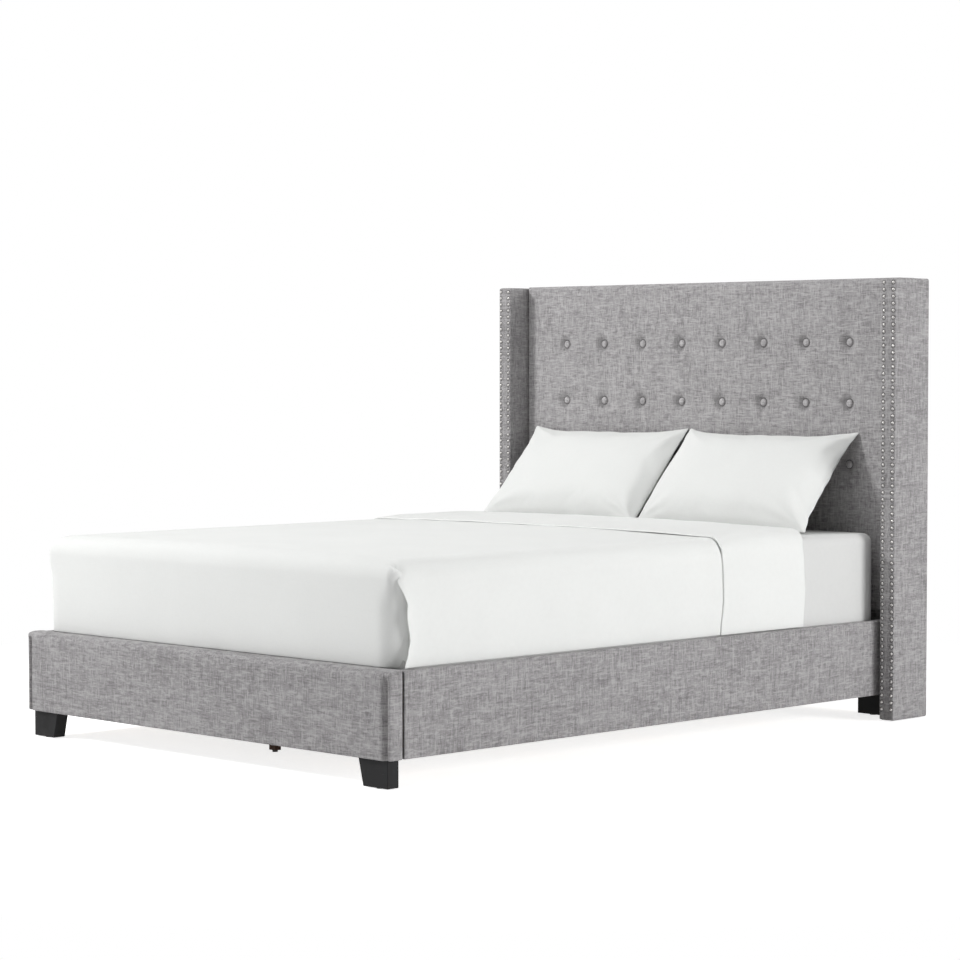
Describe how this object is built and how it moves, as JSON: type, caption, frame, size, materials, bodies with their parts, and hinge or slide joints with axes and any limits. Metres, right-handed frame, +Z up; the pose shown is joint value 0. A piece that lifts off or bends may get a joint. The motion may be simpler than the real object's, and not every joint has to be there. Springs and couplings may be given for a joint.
{
  "type": "wingback bed",
  "caption": "Upholstered queen bed with a button-tufted headboard between two nailhead-trimmed wings, low footboard and side rails, block legs and white bedding.",
  "frame": {"origin": "on the floor under the middle of the bed's overall width and length", "axes": "+Y from the footboard to the headboard, +Z up, +X to the right seen from the foot"},
  "size_m": [1.734, 2.288, 1.398],
  "materials": {
    "grey_linen": "heavy grey linen-look weave with light and dark slubs over foam",
    "nickel_nailheads": "polished nickel domes",
    "black_wood": "black stained hardwood, satin",
    "brown_wood": "dark brown stained hardwood",
    "pine": "planed pine",
    "plywood": "poplar plywood",
    "black_steel": "black powder coat",
    "zinc_fasteners": "zinc plate",
    "glide_plastic": "moulded nylon",
    "back_lining": "black non-woven dust cloth",
    "foundation_cloth": "plain woven cover",
    "mattress_ticking": "knitted ticking",
    "white_cotton": "white cotton percale",
    "white_coverlet": "white cotton with a thin fill",
    "pillow_cotton": "white cotton percale case"
  },
  "bodies": {
    "bed_frame": {"bracket_bolts": "zinc_fasteners", "footboard_board": "pine", "footboard_cover": "grey_linen", "headboard_apron": "grey_linen", "headboard_back_lining": "back_lining", "headboard_base_rail": "pine", "headboard_lower_rail": "pine", "headboard_pad": "grey_linen", "headboard_panel": "plywood", "headboard_top_rail": "pine", "headboard_upper_rail": "pine", "left_foot_bracket": "black_steel", "left_foot_leg": "black_wood", "left_head_bracket": "black_steel", "left_head_leg": "black_wood", "left_headboard_stile": "pine", "left_rail_board": "pine", "left_rail_cover": "grey_linen", "left_slat_ledger": "pine", "left_wing_cover": "grey_linen", "left_wing_frame": "pine", "left_wing_nailheads": "nickel_nailheads", "leg_bolts": "zinc_fasteners", "leg_glides": "glide_plastic", "right_foot_bracket": "black_steel", "right_foot_leg": "black_wood", "right_head_bracket": "black_steel", "right_head_leg": "black_wood", "right_headboard_stile": "pine", "right_rail_board": "pine", "right_rail_cover": "grey_linen", "right_slat_ledger": "pine", "right_wing_cover": "grey_linen", "right_wing_frame": "pine", "right_wing_nailheads": "nickel_nailheads", "slat_1": "pine", "slat_2": "pine", "slat_3": "pine", "slat_4": "pine", "support_glides": "glide_plastic", "support_leg_1": "brown_wood", "support_leg_2": "brown_wood", "support_leg_3": "brown_wood", "support_leg_4": "brown_wood", "tufting_buttons": "grey_linen", "wing_bolts": "zinc_fasteners"},
    "foundation": {"foundation": "foundation_cloth"},
    "mattress": {"mattress": "mattress_ticking", "fitted_sheet": "white_cotton", "coverlet": "white_coverlet", "turned_down_sheet": "white_coverlet"},
    "left_pillow": {"left_pillow": "pillow_cotton"},
    "right_pillow": {"right_pillow": "pillow_cotton"}
  },
  "joints": [
    {"name": "foundation_lift", "type": "slide", "parent": "bed_frame", "child": "foundation", "axis": [0, 0, 1], "range_m": [0, 0.4]},
    {"name": "mattress_lift", "type": "slide", "parent": "foundation", "child": "mattress", "axis": [0, 0, 1], "range_m": [0, 0.5]},
    {"name": "left_pillow_lift", "type": "slide", "parent": "mattress", "child": "left_pillow", "axis": [0, -0.5, 0.866], "range_m": [0, 0.5]},
    {"name": "right_pillow_lift", "type": "slide", "parent": "mattress", "child": "right_pillow", "axis": [0, -0.5, 0.866], "range_m": [0, 0.5]}
  ]
}
